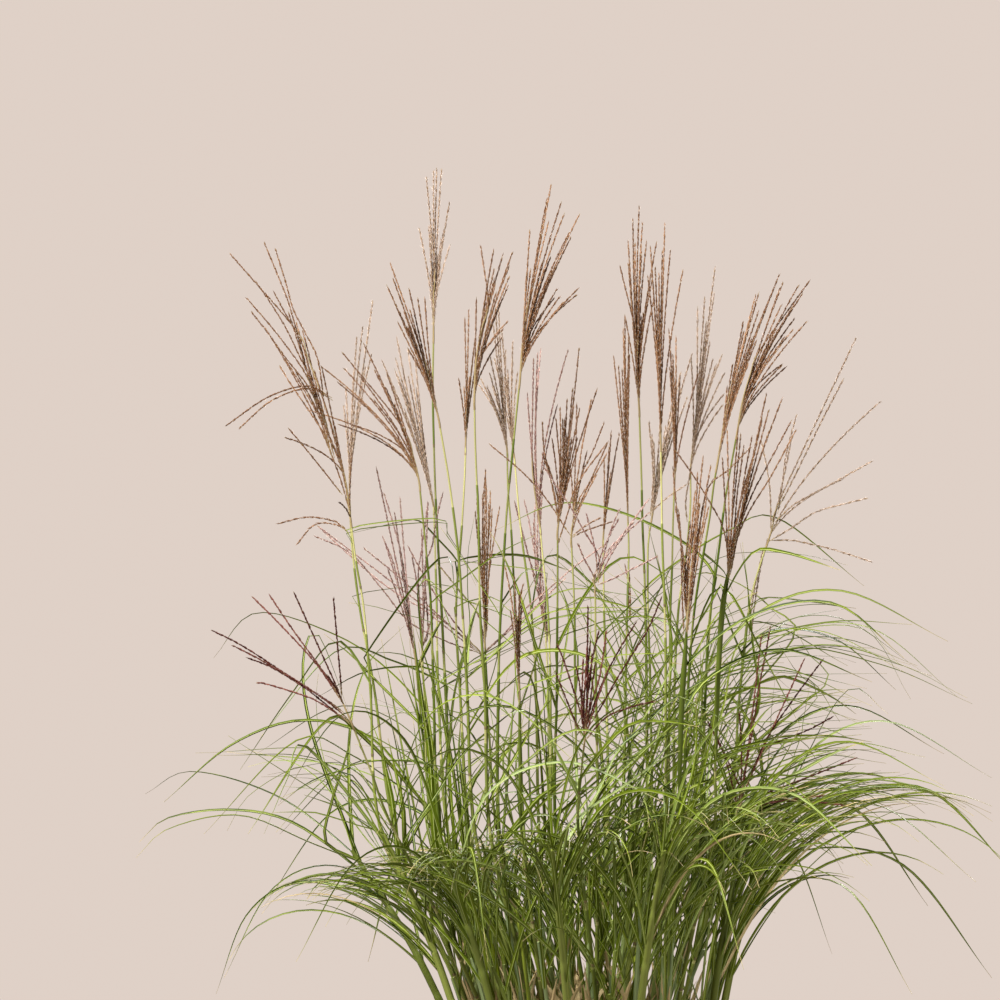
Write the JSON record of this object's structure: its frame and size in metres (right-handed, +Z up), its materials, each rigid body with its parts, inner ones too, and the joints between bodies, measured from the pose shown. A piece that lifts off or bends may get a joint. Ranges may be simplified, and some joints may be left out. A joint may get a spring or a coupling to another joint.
{
  "type": "potted maiden grass",
  "caption": "Tall ornamental grass in a round tapered clay pot: upright stems with feathery reddish plumes above arching narrow leaves.",
  "frame": {"origin": "centre of the pot's flat foot, on the surface that the pot stands on", "axes": "+Z up along the pot's axis, -Y towards the front of the plant, +X to the right seen from the front"},
  "size_m": [1.1263, 1.0911, 1.4618],
  "materials": {
    "clay": "unglazed fired clay, matt and faintly dusty",
    "soil": "damp bark and fibre potting soil",
    "stem": "smooth green cane with paler sheaths",
    "leaf": "green blades with a pale midrib and fine veins",
    "plume": "rusty to wine red spikelets with silky pale hairs"
  },
  "bodies": {
    "root": {"leaves_01": "leaf", "leaves_02": "leaf", "leaves_03": "leaf", "leaves_04": "leaf", "leaves_05": "leaf", "leaves_06": "leaf", "leaves_07": "leaf", "leaves_08": "leaf", "leaves_09": "leaf", "leaves_10": "leaf", "leaves_11": "leaf", "leaves_12": "leaf", "plume_01": "plume", "plume_02": "plume", "plume_03": "plume", "plume_04": "plume", "plume_05": "plume", "plume_06": "plume", "plume_07": "plume", "plume_08": "plume", "plume_09": "plume", "plume_10": "plume", "plume_11": "plume", "plume_12": "plume", "plume_13": "plume", "plume_14": "plume", "plume_15": "plume", "plume_16": "plume", "plume_17": "plume", "plume_18": "plume", "plume_19": "plume", "plume_20": "plume", "plume_21": "plume", "plume_22": "plume", "plume_23": "plume", "plume_24": "plume", "plume_25": "plume", "plume_26": "plume", "plume_27": "plume", "plume_28": "plume", "plume_29": "plume", "plume_30": "plume", "plume_31": "plume", "plume_32": "plume", "plume_33": "plume", "plume_34": "plume", "plume_35": "plume", "plume_36": "plume", "pot": "clay", "soil": "soil", "stems_1": "stem", "stems_2": "stem", "stems_3": "stem", "stems_4": "stem", "stems_5": "stem", "stems_6": "stem", "stems_7": "stem", "stems_8": "stem", "stems_9": "stem"}
  },
  "joints": []
}
